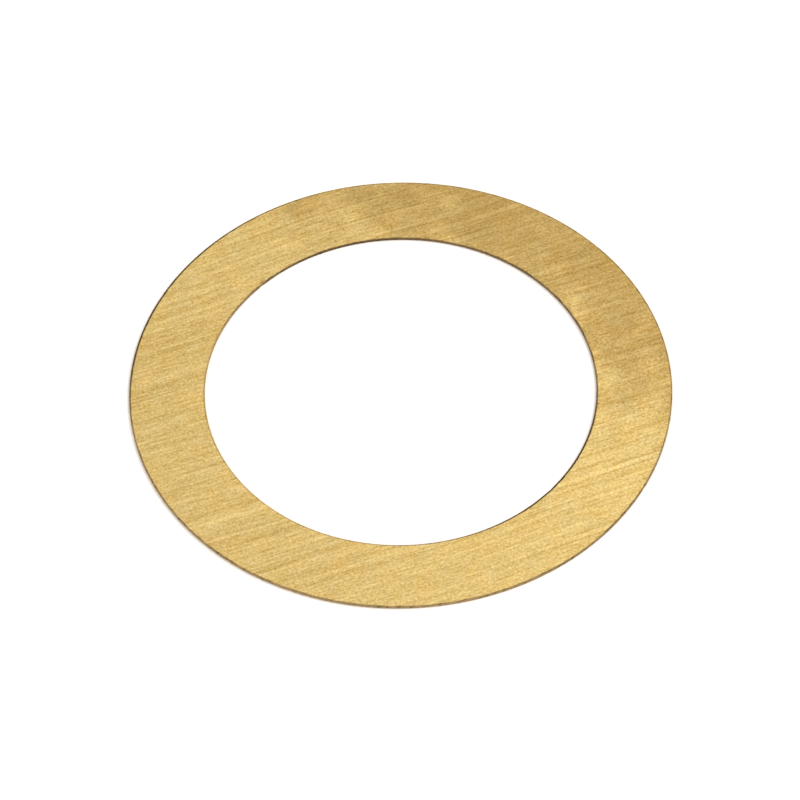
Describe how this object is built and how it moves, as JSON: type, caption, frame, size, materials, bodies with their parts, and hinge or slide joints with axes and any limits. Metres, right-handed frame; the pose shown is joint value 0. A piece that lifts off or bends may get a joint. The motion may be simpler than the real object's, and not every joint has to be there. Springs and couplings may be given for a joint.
{
  "type": "flat washer",
  "caption": "Thin brushed-brass shim washer with a wide bore, for taking up end play on a shaft.",
  "frame": {"origin": "centre of the bottom face, on the washer's axis", "axes": "+Z along the washer's axis, from the bottom face to the top face, whose edges are rolled; X and Y lie in the bottom face"},
  "size_m": [0.0418, 0.0418, 0.0002],
  "materials": {
    "brass": "brushed in straight lines, slightly tarnished, with dark sheared edges"
  },
  "bodies": {
    "root": {"shim_washer": "brass"}
  },
  "joints": []
}
